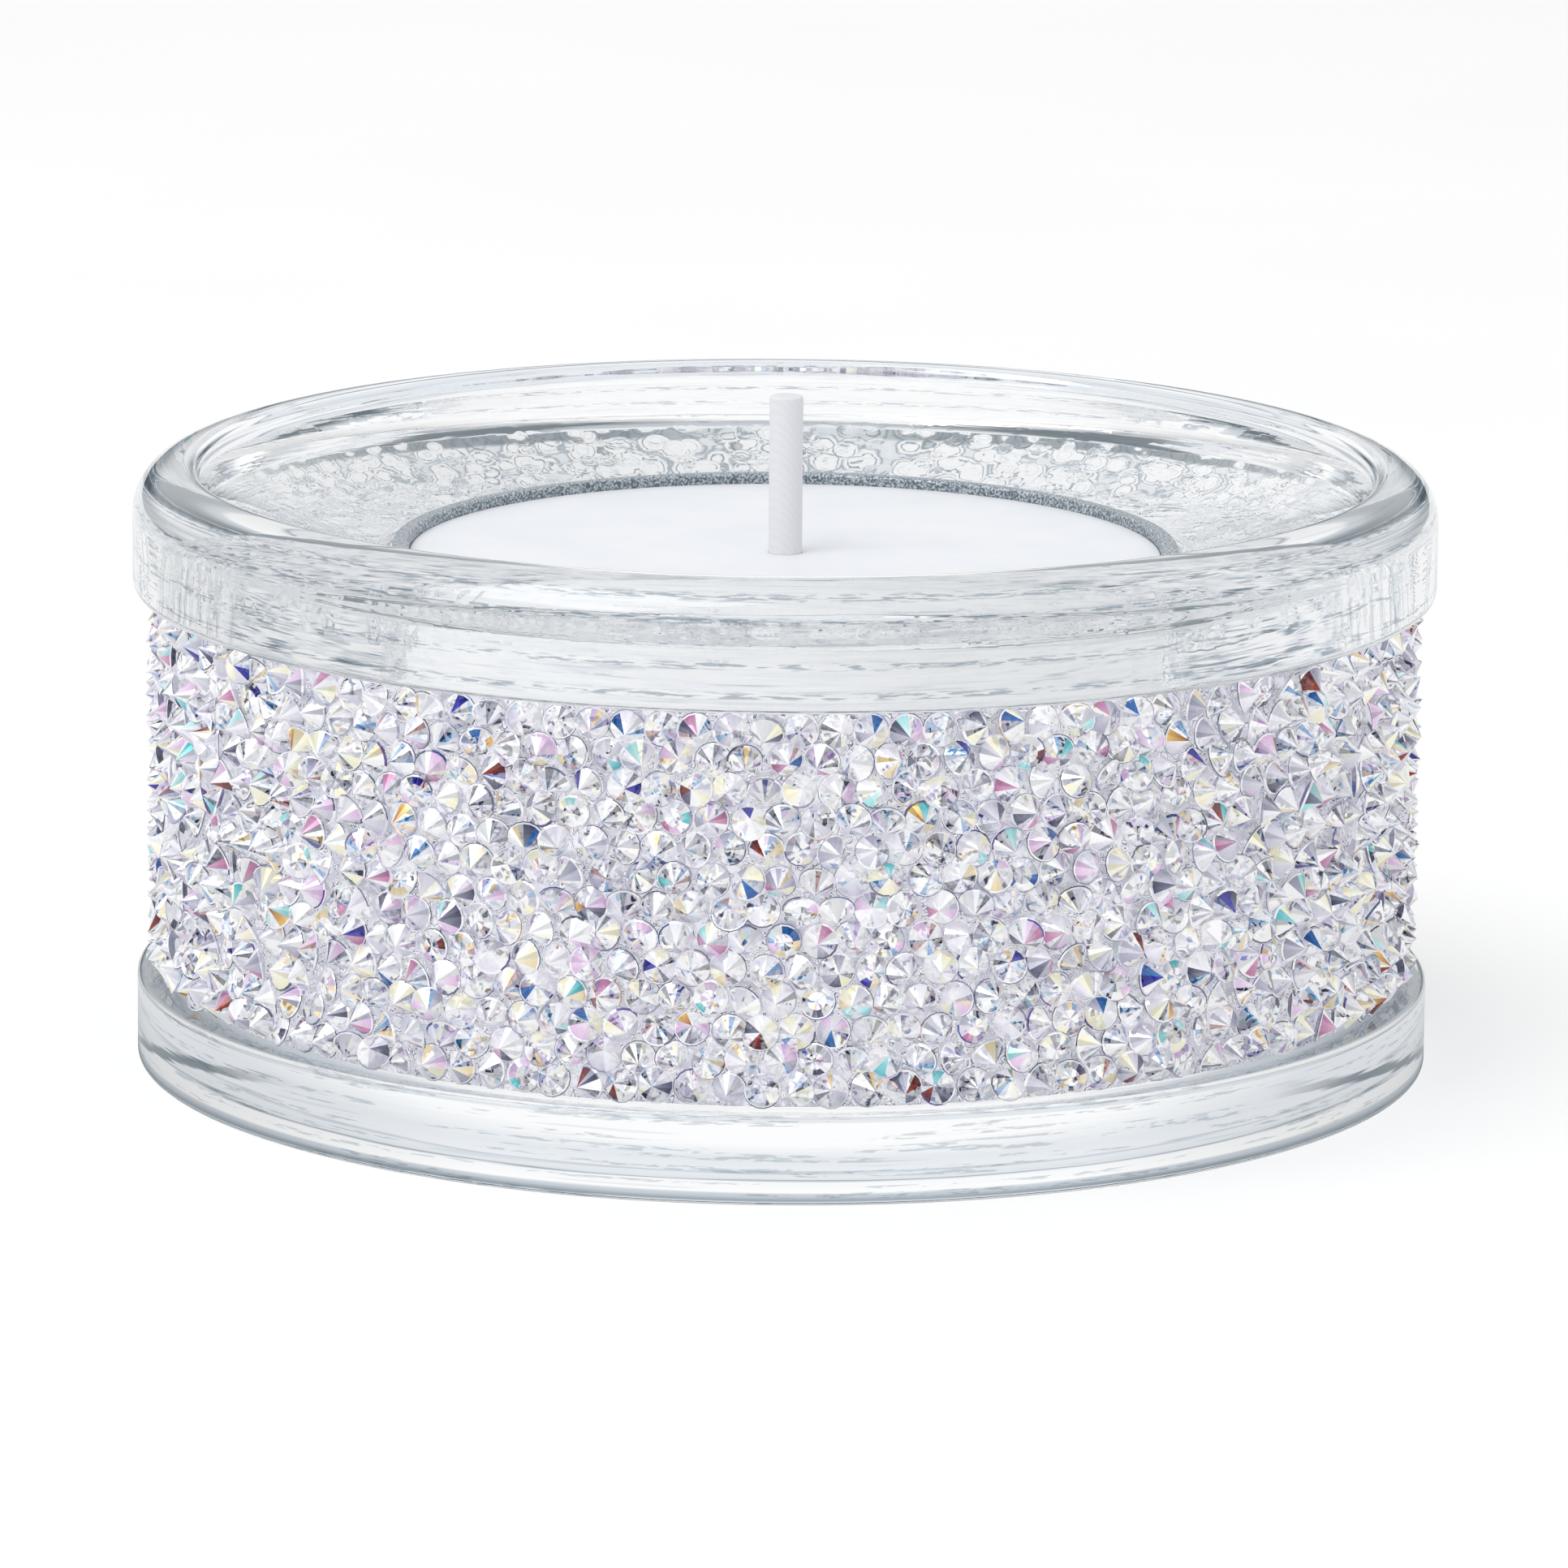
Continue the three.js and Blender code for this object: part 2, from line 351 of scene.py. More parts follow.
def tones(nodes, links, value, *stops, between="LINEAR"):
    """A ramp through (position, red, green, blue) stops, with the colours as they look on a screen."""
    return ramp(nodes, links, value, [(at, stored(*colour)) for at, *colour in stops], between)


def object_coordinates(nodes, links, scale=(1, 1, 1)):
    """Object coordinates in millimetres, stretched by scale."""
    coordinates = nodes.new("ShaderNodeTexCoord")
    mapping = nodes.new("ShaderNodeMapping")
    mapping.inputs["Scale"].default_value = [factor / MM for factor in scale]
    links.new(coordinates.outputs["Object"], mapping.inputs["Vector"])
    return mapping.outputs["Vector"]


def axis_part(nodes, links, vector, axis):
    split = nodes.new("ShaderNodeSeparateXYZ")
    links.new(vector, split.inputs["Vector"])
    return split.outputs[axis]


def distance_from_axis(nodes, links, unit):
    """Distance from the Z axis, counted in that unit."""
    place = nodes.new("ShaderNodeTexCoord").outputs["Object"]
    flat = vector_math(nodes, links, "MULTIPLY", place, (1 / unit, 1 / unit, 0))
    return vector_math(nodes, links, "LENGTH", flat)


def radius_share(nodes, links):
    """Distance from the Z axis as a share of the rim's radius."""
    return share_of(nodes, links, distance_from_axis(nodes, links, 1), RIM_RADIUS)


def height_share(nodes, links):
    """Height above the base as a share of the body's whole height."""
    place = nodes.new("ShaderNodeTexCoord").outputs["Object"]
    return share_of(nodes, links, axis_part(nodes, links, place, "Z"), BODY_HEIGHT)


def noise(nodes, links, vector, scale, detail):
    texture = nodes.new("ShaderNodeTexNoise")
    texture.inputs["Scale"].default_value = scale
    texture.inputs["Detail"].default_value = detail
    links.new(vector, texture.inputs["Vector"])
    return texture.outputs["Fac"]


def ring_noise(nodes, links, length_mm, width_mm, detail):
    """Noise drawn out into streaks that run round the Z axis, of that usual length and width."""
    texture = nodes.new("ShaderNodeTexNoise")
    texture.noise_dimensions = "4D"
    texture.inputs["Scale"].default_value = 1.0
    texture.inputs["Detail"].default_value = detail
    texture.inputs["Roughness"].default_value = STREAK_ROUGHNESS
    vector = object_coordinates(nodes, links, (1 / length_mm, 1 / length_mm, 1 / width_mm))
    links.new(vector, texture.inputs["Vector"])
    links.new(distance_from_axis(nodes, links, width_mm * MM), texture.inputs["W"])
    return texture.outputs["Fac"]


def wandering(nodes, links, vector, scale, reach):
    """The vector, moved about by a soft noise, so that straight cells come out bent."""
    wander = nodes.new("ShaderNodeTexNoise")
    wander.inputs["Scale"].default_value = scale
    wander.inputs["Detail"].default_value = 1.0
    links.new(vector, wander.inputs["Vector"])
    moved = nodes.new("ShaderNodeVectorMath")
    moved.operation = "MULTIPLY_ADD"
    moved.inputs[1].default_value = (reach, reach, reach)
    links.new(wander.outputs["Color"], moved.inputs[0])
    links.new(vector, moved.inputs[2])
    return moved.outputs["Vector"]


def bent_cells(nodes, links, scale, wander_scale, reach, randomness=1.0):
    """Cells with bent edges, as a node that gives each cell's colour and the distance from its middle."""
    cells = nodes.new("ShaderNodeTexVoronoi")
    cells.inputs["Scale"].default_value = scale
    cells.inputs["Randomness"].default_value = randomness
    vector = wandering(nodes, links, object_coordinates(nodes, links), wander_scale, reach)
    links.new(vector, cells.inputs["Vector"])
    return cells


def bump(nodes, links, height, shader, strength, distance):
    node = nodes.new("ShaderNodeBump")
    node.inputs["Strength"].default_value = strength
    node.inputs["Distance"].default_value = distance
    links.new(height, node.inputs["Height"])
    links.new(node.outputs["Normal"], shader.inputs["Normal"])


def uneven_roughness(nodes, links, value, shader, low, high):
    """Spreads a 0 to 1 value over low to high, as the shader's roughness."""
    node = nodes.new("ShaderNodeMapRange")
    node.inputs["To Min"].default_value = low
    node.inputs["To Max"].default_value = high
    links.new(value, node.inputs["Value"])
    links.new(node.outputs["Result"], shader.inputs["Roughness"])


def marked_surface(nodes, links, marks, shader, roughness, strength, depth, *stops):
    """Lets one pattern of marks set the colour, roughness and height of a surface."""
    links.new(tones(nodes, links, marks, *stops), shader.inputs["Base Color"])
    uneven_roughness(nodes, links, marks, shader, *roughness)
    bump(nodes, links, marks, shader, strength, depth)


def lets_light_through(nodes, links, shader, share=1.0):
    """Mixes in a clear path for lamps and soft light, so that what lies behind stays lit."""
    lit = product(nodes, links, ray_is(nodes, links, "Is Shadow Ray", "Is Diffuse Ray"), share)
    straight = nodes.new("ShaderNodeBsdfTransparent").outputs["BSDF"]
    surface = mixed_shader(nodes, links, lit, shader.outputs["BSDF"], straight)
    links.new(surface, nodes["Material Output"].inputs["Surface"])


def dashed_lines(nodes, links, long):
    """Where the glass has its fine painted dashes of reflected grey: thin lines round the rim, and loose
    bands round the foot.
    """
    stops = [(0.0, DASHES_ON_FOOT), (FOOT_HEIGHT / BODY_HEIGHT, DASHES_ON_FOOT), (ABOVE_FOOT, DASHES_BETWEEN)]
    half = DASH_LINE_HALF_WIDTH / BODY_HEIGHT
    for line in DASH_LINES:
        centre = line / BODY_HEIGHT
        stops += [(centre - 2 * half, DASHES_BETWEEN), (centre - half, 1)]
        stops += [(centre + half, 1), (centre + 2 * half, DASHES_BETWEEN)]
    height = height_share(nodes, links)
    by_height = mask(nodes, links, height, *stops)
    bands = mask(nodes, links, long, (0.53, 0), (0.57, 1))
    on_lines = mask(nodes, links, height, (ABOVE_FOOT - 0.01, 0), (ABOVE_FOOT, 1))
    anywhere = combined(nodes, links, "MAXIMUM", bands, on_lines)
    outside = mask(nodes, links, radius_share(nodes, links), (0.955, 0.1), (0.965, 1))
    return product(nodes, links, by_height, anywhere, outside)


def dish_lumps(nodes, links):
    """Soft drop-shaped lumps in the glass of the dish, from its mouth down to the well."""
    distance = bent_cells(nodes, links, 0.85, 0.8, 0.7).outputs["Distance"]
    domes = mask(nodes, links, distance, (0.1, 1), (0.3, 0.7), (0.55, 0), between="EASE")
    radius = radius_share(nodes, links)
    slope = mask(nodes, links, radius, (WELL_RADIUS / RIM_RADIUS, 1), (0.74, 1), (0.82, 0))
    raised = mask(nodes, links, height_share(nodes, links), (0.8, 0), (0.82, 1))
    return product(nodes, links, domes, slope, raised)


def pressed_glass():
    """Clear glass. Long soft waves from the mould run round it, and soft lumps in the dish. Its colour holds
    painted reflections: faint grey-blue streaks round it, and fine grey dashes along a few thin lines of
    the rim and round the foot."""
    material, nodes, links, shader = new_material("pressed clear glass")
    shader.inputs["Transmission Weight"].default_value = 1.0
    shader.inputs["IOR"].default_value = GLASS_IOR
    shader.inputs["Roughness"].default_value = 0.0
    fine = ring_noise(nodes, links, 1.2, 0.11, 2.0)
    long = ring_noise(nodes, links, 11.0, 0.3, 1.0)
    broad = ring_noise(nodes, links, 20.0, 1.5, 0.0)
    # Painted reflections: fine grey dashes, mixed over faint grey-blue streaks in the glass's colour
    dashes = mask(nodes, links, fine, (0.44, 1), (0.49, 0))
    marks = product(nodes, links, dashes, dashed_lines(nodes, links, long))
    clear = tones(
        nodes, links, long,
        (0.3, 226, 231, 236), (0.33, 253, 254, 255), (0.4, 255, 255, 255), (0.6, 255, 255, 255),
        (0.68, 246, 249, 250),
    )
    links.new(mixed(nodes, links, marks, clear, stored(142, 155, 167)), shader.inputs["Base Color"])
    waves = product(nodes, links, broad, WAVE_DEPTH / LUMP_DEPTH)
    ripples = product(nodes, links, long, RIPPLE_DEPTH / LUMP_DEPTH)
    skin = combined(nodes, links, "ADD", waves, ripples)
    bump(nodes, links, combined(nodes, links, "ADD", skin, dish_lumps(nodes, links)), shader, 1.0, LUMP_DEPTH)
    lets_light_through(nodes, links, shader)
    return material


def coated_stone():
    """Cut stone. The facet_colour attribute holds each facet's colour, the coating on coated facets and
    painted light and shade elsewhere, and, as alpha, how much it looks like clear glass, whose small bright
    and dark shards are painted reflections of its other facets."""
    material, nodes, links, shader = new_material("colour-coated cut stone")
    shader.inputs["Metallic"].default_value = 0.3
    shader.inputs["IOR"].default_value = STONE_IOR
    attribute = nodes.new("ShaderNodeAttribute")
    attribute.attribute_name = "facet_colour"
    split = nodes.new("ShaderNodeSeparateColor")
    links.new(bent_cells(nodes, links, 4.2, 1.5, 1.2).outputs["Color"], split.inputs["Color"])
    # Painted reflections: bright and dark shards that clear facets show of the stone's other facets
    shards = tones(
        nodes, links, split.outputs["Red"],
        (0.0, 255, 255, 255), (0.34, 234, 233, 243), (0.5, 204, 203, 219), (0.62, 150, 152, 174),
        (0.67, 40, 44, 70), (0.76, 252, 252, 255), (0.88, 252, 248, 222), (0.92, 176, 214, 240),
        (0.955, 220, 188, 226), (0.98, 30, 110, 190), (1.0, 30, 110, 190), between="CONSTANT",
    )
    shown = mixed(nodes, links, attribute.outputs["Alpha"], attribute.outputs["Color"], shards)
    links.new(shown, shader.inputs["Base Color"])
    uneven_roughness(nodes, links, split.outputs["Green"], shader, 0.02, 0.08)
    lets_light_through(nodes, links, shader, 0.88)
    return material


def stone_glue():
    """Clear lavender-grey glue as seen from outside: smooth patches with fine bright and dark squiggles,
    which are painted glints and painted dark reflections.
    """
    material, nodes, links, shader = new_material("lavender-grey stone glue")
    shader.inputs["Metallic"].default_value = 0.2
    vector = object_coordinates(nodes, links)
    swirls = noise(nodes, links, vector, 1.3, 2.0)
    # Painted glints (white) and painted dark reflections, in thin squiggles
    squiggles = tones(
        nodes, links, swirls,
        (0.3, 236, 236, 243), (0.37, 206, 206, 218), (0.385, 64, 67, 92), (0.4, 255, 255, 255),
        (0.43, 222, 222, 233), (0.46, 196, 196, 210), (0.475, 255, 255, 255), (0.49, 184, 185, 201),
        (0.505, 112, 115, 138), (0.52, 255, 255, 255), (0.55, 208, 208, 220), (0.565, 60, 63, 88),
        (0.575, 252, 252, 255), (0.6, 206, 206, 219), (0.64, 255, 255, 255), (0.66, 216, 216, 227),
        (0.8, 240, 240, 247),
    )
    patches = tones(
        nodes, links, noise(nodes, links, vector, 0.7, 1.0),
        (0.35, 190, 191, 205), (0.5, 216, 216, 227), (0.65, 240, 240, 246),
    )
    spread = share_of(nodes, links, noise(nodes, links, vector, 2.0, 1.0), 0.5, 0.36)
    links.new(mixed(nodes, links, spread, patches, squiggles), shader.inputs["Base Color"])
    uneven_roughness(nodes, links, swirls, shader, 0.05, 0.2)
    bump(nodes, links, swirls, shader, 0.7, 0.12 * MM)
    lets_light_through(nodes, links, shader, 0.92)
    return material


def stone_backs():
    """The strip as seen through the body. Its inner side shows level dashes, painted streaks for what the
    glass bends and reflects, and at the back of the upper part the stones' pale backs in clear glue, each
    with a faint painted shading ring and a thin dark outline. Painted slate shade parts the backs of the top
    row, most at the back left and back right. The strip's edges are plain and pale."""
    material, nodes, links, shader = new_material("stone backs in clear glue")
    vector = object_coordinates(nodes, links)
    distance = bent_cells(nodes, links, 0.66, 0.9, 0.45, 0.7).outputs["Distance"]
    # Pale backs, each with a faint painted shading ring inside, a thin dark outline, and greyer glue between
    # them
    drops = tones(
        nodes, links, distance,
        (0.0, 255, 255, 255), (0.22, 255, 255, 255), (0.26, 226, 232, 236), (0.3, 255, 255, 255),
        (0.45, 255, 255, 255), (0.49, 122, 137, 147), (0.52, 255, 255, 255), (0.6, 246, 248, 250),
        (0.66, 160, 172, 181), (0.74, 236, 240, 243),
    )
    # Painted refraction streaks: level grey and white dashes
    dashes = tones(
        nodes, links, ring_noise(nodes, links, 6.0, 0.14, 1.0),
        (0.38, 150, 163, 173), (0.43, 222, 228, 233), (0.49, 250, 251, 252), (0.52, 255, 255, 255),
        (0.6, 255, 255, 255), (0.64, 204, 212, 218),
    )
    # The painted dashes give way to the backs at the back of the upper part
    depth = product(nodes, links, axis_part(nodes, links, vector, "Y"), MM / RIM_RADIUS)
    far_half = mask(nodes, links, combined(nodes, links, "ADD", depth, 0.5), (0.72, 0), (0.9, 1))
    height = height_share(nodes, links)
    drops_from = DROPS_FROM / BODY_HEIGHT
    upper = mask(nodes, links, height, (drops_from - 0.01, 0), (drops_from + 0.01, 1))
    shown = product(nodes, links, far_half, upper)
    backs = mixed(nodes, links, shown, dashes, drops)

    # Painted shade: slate in the gaps between the backs of the top row, most at the back left and back right
    between = mask(nodes, links, distance, (0.33, 0), (0.38, 1))
    top_row_from = TOP_ROW_FROM / BODY_HEIGHT
    top = mask(nodes, links, height, (top_row_from - 0.004, 0), (top_row_from + 0.004, 0.8))
    sideways = combined(nodes, links, "ABSOLUTE", axis_part(nodes, links, vector, "X"))
    off_middle = share_of(nodes, links, sideways, RIM_RADIUS / MM)
    aside = mask(nodes, links, off_middle, (0.08, 0.15), (0.26, 1), (0.7, 1), (0.9, 0.5))
    gap_shade = product(nodes, links, between, top, aside, shown)
    backs = mixed(nodes, links, gap_shade, backs, stored(104, 121, 132))

    radius = radius_share(nodes, links)
    inner_side = combined(nodes, links, "LESS_THAN", radius, INNER_SIDE_LIMIT / RIM_RADIUS)
    links.new(mixed(nodes, links, inner_side, stored(226, 231, 236), backs), shader.inputs["Base Color"])
    uneven_roughness(nodes, links, distance, shader, 0.1, 0.3)
    lets_light_through(nodes, links, shader, 0.92)
    return material


def knurled_aluminium():
    """Thin drawn aluminium with fine crossed knurls, as on the cup's inner edge."""
    material, nodes, links, shader = new_material("knurled cup aluminium")
    shader.inputs["Metallic"].default_value = 0.5
    knurls = noise(nodes, links, object_coordinates(nodes, links), 8.0, 1.0)
    marked_surface(
        nodes, links, knurls, shader, (0.35, 0.5), 0.35, 0.06 * MM,
        (0.38, 104, 116, 126), (0.5, 150, 160, 168), (0.62, 206, 212, 217),
    )
    return material


def satin_aluminium():
    """The cup's plain outer wall: very pale satin aluminium with faint drawing marks round it."""
    material, nodes, links, shader = new_material("satin cup aluminium")
    shader.inputs["Metallic"].default_value = 0.2
    marks = ring_noise(nodes, links, 5.0, 0.12, 2.0)
    marked_surface(
        nodes, links, marks, shader, (0.45, 0.6), 0.2, 0.03 * MM,
        (0.3, 214, 220, 225), (0.4, 248, 250, 252), (0.7, 254, 255, 255),
    )
    return material


def candle_wax():
    """White wax, slightly see-through, with a barely uneven cast surface."""
    material, nodes, links, shader = new_material("white candle wax")
    shader.inputs["Subsurface Weight"].default_value = 0.15
    shader.inputs["Subsurface Radius"].default_value = (1.0, 0.95, 0.9)
    shader.inputs["Subsurface Scale"].default_value = 1.2 * MM
    vector = object_coordinates(nodes, links)
    cloud = noise(nodes, links, vector, 0.25, 3.0)
    colour = tones(nodes, links, cloud, (0.3, 229, 232, 238), (0.7, 235, 237, 241))
    links.new(colour, shader.inputs["Base Color"])
    fine = noise(nodes, links, vector, 1.4, 4.0)
    uneven_roughness(nodes, links, fine, shader, 0.38, 0.55)
    bump(nodes, links, fine, shader, 0.12, 0.05 * MM)
    return material


def wick_cotton():
    """Waxed braided cotton: fine crossed strands under a thin coat of wax."""
    material, nodes, links, shader = new_material("waxed wick cotton")
    shader.inputs["Sheen Weight"].default_value = 0.1
    braid = nodes.new("ShaderNodeTexWave")
    braid.bands_direction = "DIAGONAL"
    braid.inputs["Scale"].default_value = 1.3
    braid.inputs["Distortion"].default_value = 3.0
    links.new(object_coordinates(nodes, links), braid.inputs["Vector"])
    marked_surface(
        nodes, links, braid.outputs["Fac"], shader, (0.5, 0.65), 0.04, 0.02 * MM,
        (0.0, 222, 223, 227), (1.0, 225, 226, 230),
    )
    return material


def tinned_steel():
    """Dull tinned steel sheet with faint rolling marks."""
    material, nodes, links, shader = new_material("tinned steel sheet")
    shader.inputs["Metallic"].default_value = 1.0
    marks = noise(nodes, links, object_coordinates(nodes, links, (0.2, 3, 0.2)), 2.0, 4.0)
    marked_surface(
        nodes, links, marks, shader, (0.28, 0.45), 0.15, 0.03 * MM,
        (0.3, 186, 188, 190), (0.7, 212, 213, 214),
    )
    return material


def glass_body():
    """The solid glass: foot, band for the stones, rounded rim, lip, sloping dish and well."""
    well_edge_degrees = 90 - math.degrees(DISH_SLOPE)
    edge_rise = WELL_EDGE_ROUND * (math.tan(DISH_SLOPE) - 1 / math.cos(DISH_SLOPE))
    profile = [(0, 0)]
    profile += arc(FOOT_RADIUS - FOOT_BOTTOM_ROUND, FOOT_BOTTOM_ROUND, FOOT_BOTTOM_ROUND, -90, 0)
    profile += arc(FOOT_RADIUS - FOOT_TOP_ROUND, FOOT_HEIGHT - FOOT_TOP_ROUND, FOOT_TOP_ROUND, 0, 90)
    profile += [(BAND_RADIUS, FOOT_HEIGHT), (BAND_RADIUS, RIM_UNDERSIDE)]
    profile += arc(RIM_RADIUS - RIM_LOWER_ROUND, RIM_UNDERSIDE + RIM_LOWER_ROUND, RIM_LOWER_ROUND, -90, 0)
    profile += arc(RIM_RADIUS - RIM_CROWN_ROUND, BODY_HEIGHT - RIM_CROWN_ROUND, RIM_CROWN_ROUND, 0, 90, 14)
    profile += arc(MOUTH_RADIUS + MOUTH_ROUND, BODY_HEIGHT - MOUTH_ROUND, MOUTH_ROUND, 90, 180)
    profile += [(MOUTH_RADIUS, DISH_TOP)]
    profile += arc(WELL_RADIUS + WELL_EDGE_ROUND, DISH_FOOT + edge_rise, WELL_EDGE_ROUND,
                   180 - well_edge_degrees, 180)
    profile += arc(WELL_RADIUS - WELL_FLOOR_ROUND, WELL_FLOOR + WELL_FLOOR_ROUND, WELL_FLOOR_ROUND, 0, -90)
    profile += [(0, WELL_FLOOR)]
    piece = turned("clear_glass_body", profile, GLASS_SIDES)
    piece.data.materials.append(pressed_glass())
    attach(piece, "holder")
    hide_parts("glass_body")


def glue_strip():
    """The strip's glue, bent round the band and open at the butt joint, with a slightly uneven outer side.
    The outer side has the glue's own look, and the inner side and the edges that of the stones' backs."""
    layer = (STRIP_HIGH.z - STRIP_LOW.z) / GLUE_LAYERS
    profile = [(GLUE_INNER, STRIP_LOW.z)]
    profile += [(GLUE_OUTER, STRIP_LOW.z + step * layer) for step in range(GLUE_LAYERS + 1)]
    profile += [(GLUE_INNER, STRIP_HIGH.z), (GLUE_INNER, STRIP_LOW.z)]
    piece = turned("stone_glue_strip", profile, GLUE_SIDES, STONE_ANGLE * STONES_AROUND)
    piece.data.transform(Matrix.Rotation(SEAM_ANGLE, 4, "Z"))
    draw = random.Random(GLUE_SEED)
    for vertex in piece.data.vertices:
        radius = math.hypot(vertex.co.x, vertex.co.y)
        if radius > (GLUE_INNER + GLUE_OUTER) / 2:
            swell = 1 + GLUE_SWELL * draw.uniform(-1, 1) / radius
            vertex.co.x *= swell
            vertex.co.y *= swell
    piece.data.materials.append(stone_glue())
    piece.data.materials.append(stone_backs())
    for face in piece.data.polygons:
        outward = face.normal.x * face.center.x + face.normal.y * face.center.y
        face.material_index = 1 if outward < abs(face.normal.z) * face.center.xy.length else 0
    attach(piece, "holder")
    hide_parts("carrier_strip")


POINT, COLLAR, GIRDLE, CROWN, TABLE, STAR = range(6)


def mark_facets(stone, kind_of):
    """Stores each face's kind and which of the eight facets round the stone it belongs to."""
    kinds = stone.data.attributes.new("facet_kind", "INT", "FACE")
    numbers = stone.data.attributes.new("facet_number", "INT", "FACE")
    for face in stone.data.polygons:
        turn = math.atan2(face.center.y, face.center.x) % (2 * math.pi)
        kinds.data[face.index].value = kind_of(face)
        numbers.data[face.index].value = int(turn / (2 * math.pi) * STONE_FACETS) % STONE_FACETS


def underside_kind(face):
    """The kind of a face below the facets, by its depth."""
    depth = -face.center.z
    if depth < STONE_COLLAR_DEPTH:
        return COLLAR
    if depth < STONE_GIRDLE_DEPTH:
        return GIRDLE
    return CROWN if depth < STONE_TABLE_DEPTH - MERGE_DISTANCE else TABLE


def stone_underside(stone):
    """Draws the collar, the girdle's edge, the crown and the table out of the face that looks down."""
    select_faces(stone, lambda face: face.normal.z < FACES_DOWN)
    depth, radius = 0, STONE_FACET_RADIUS
    for next_depth, next_radius in (
        (STONE_COLLAR_DEPTH, STONE_COLLAR_RADIUS),
        (STONE_GIRDLE_DEPTH, STONE_GIRDLE_RADIUS),
        (STONE_TABLE_DEPTH, STONE_TABLE_RADIUS),
    ):
        bpy.ops.mesh.extrude_region_move(TRANSFORM_OT_translate={"value": (0, 0, depth - next_depth)})
        bpy.ops.transform.resize(value=(next_radius / radius, next_radius / radius, 1))
        depth, radius = next_depth, next_radius
    bpy.ops.object.mode_set(mode="OBJECT")


def pointed_stone():
    """A round cut stone with eight facets rising to a point, a thin collar, and a crown and a table below."""
    deselect_everything()
    bpy.ops.mesh.primitive_cone_add(
        vertices=STONE_SIDES, radius1=STONE_FACET_RADIUS, radius2=0, depth=STONE_POINT_HEIGHT,
        location=(0, 0, STONE_POINT_HEIGHT / 2),
    )
    stone = bpy.context.object
    bpy.ops.object.transform_apply(location=True, rotation=True, scale=True)
    stone_underside(stone)
    mark_facets(stone, lambda face: POINT if face.center.z > 0 else underside_kind(face))
    return stone


def table_out_stone():
    """The same stone set the other way up: its table looks outward, split into a star of faces painted with
    the facets seen behind it.
    """
    deselect_everything()
    height = STONE_TABLE_DEPTH - STONE_GIRDLE_DEPTH
    bpy.ops.mesh.primitive_cone_add(
        vertices=STONE_SIDES, radius1=STONE_FACET_RADIUS, radius2=STONE_TABLE_RADIUS, depth=height,
        location=(0, 0, height / 2),
    )
    stone = bpy.context.object
    bpy.ops.object.transform_apply(location=True, rotation=True, scale=True)
    select_faces(stone, lambda face: face.normal.z > FACES_UP)
    bpy.ops.mesh.poke()
    bpy.ops.object.mode_set(mode="OBJECT")
    stone_underside(stone)

    def kind_of(face):
        if face.normal.z > FACES_UP:
            return STAR
        return POINT if face.center.z > 0 else underside_kind(face)

    mark_facets(stone, kind_of)
    return stone


def tints(*rows):
    """A table of how often each colour comes, coating or painted light and shade, with its colour at the
    girdle and at the point.
    """
    return [(share, stored(*low), stored(*high)) for share, low, high in rows]


FACET_TINTS = tints(
    (24, (255, 255, 255), (248, 248, 253)),
    (14, (234, 232, 243), (249, 248, 252)),
    (11, (206, 205, 220), (230, 229, 240)),
    (5, (170, 170, 190), (204, 203, 218)),
    (10, (252, 247, 214), (255, 255, 244)),
    (4, (236, 216, 170), (250, 242, 220)),
    (7, (228, 190, 230), (246, 234, 248)),
    (3, (188, 116, 160), (222, 176, 206)),
    (3, (160, 228, 230), (228, 250, 250)),
    (1.7, (70, 184, 194), (168, 230, 234)),
    (1.6, (0, 74, 150), (20, 120, 190)),
    (2.2, (24, 20, 130), (60, 60, 190)),
    (1.2, (242, 196, 104), (140, 52, 20)),
    (1.6, (84, 16, 30), (170, 60, 26)),
    (4, (70, 74, 100), (140, 142, 166)),
)
# The collar: a painted highlight ring round each stone, mostly white, with some painted grey shade and a few
# coating colours
COLLAR_PAINTED_LIGHT = tints(
    (56, (255, 255, 255), (248, 248, 253)),
    (26, (226, 224, 237), (240, 239, 246)),
    (12, (172, 172, 192), (196, 196, 212)),
    (4, (84, 88, 112), (120, 122, 146)),
    (1, (24, 64, 150), (60, 100, 186)),
    (1, (88, 56, 146), (120, 88, 174)),
)
# The girdle's edge and the crown: painted light and shade, white to dark slate, outlining each stone, with a
# few coating colours
EDGE_PAINTED_LIGHT = tints(
    (26, (200, 200, 215), (214, 213, 226)),
    (24, (246, 246, 251), (255, 255, 255)),
    (24, (142, 144, 165), (162, 163, 184)),
    (25, (52, 56, 82), (80, 84, 110)),
    (1.5, (10, 50, 150), (50, 92, 180)),
    (1.5, (72, 40, 136), (112, 80, 168)),
    (1, (190, 130, 56), (222, 182, 116)),
)
# What clear facets and the table's star show: painted reflections of the stone's other facets, white to dark
# slate, with a few coloured glints
STAR_PAINTED_REFLECTIONS = tints(
    (44, (255, 255, 255), (252, 252, 255)),
    (20, (214, 214, 229), (238, 238, 246)),
    (10, (156, 158, 179), (190, 190, 207)),
    (5, (252, 248, 214), (255, 254, 240)),
    (14, (38, 43, 68), (84, 88, 114)),
    (3.4, (6, 118, 190), (80, 180, 224)),
    (2, (16, 30, 130), (50, 70, 172)),
    (2, (236, 190, 80), (246, 214, 140)),
    (1.6, (130, 36, 28), (200, 100, 60)),
    (3, (170, 130, 196), (214, 192, 232)),
)
TABLE_TINTS = tints((1, (250, 251, 252), (250, 251, 252)))
TINTS_OF_KIND = {COLLAR: COLLAR_PAINTED_LIGHT, GIRDLE: EDGE_PAINTED_LIGHT, CROWN: EDGE_PAINTED_LIGHT, TABLE: TABLE_TINTS}
SAME_TINT_SHARE = 0.4
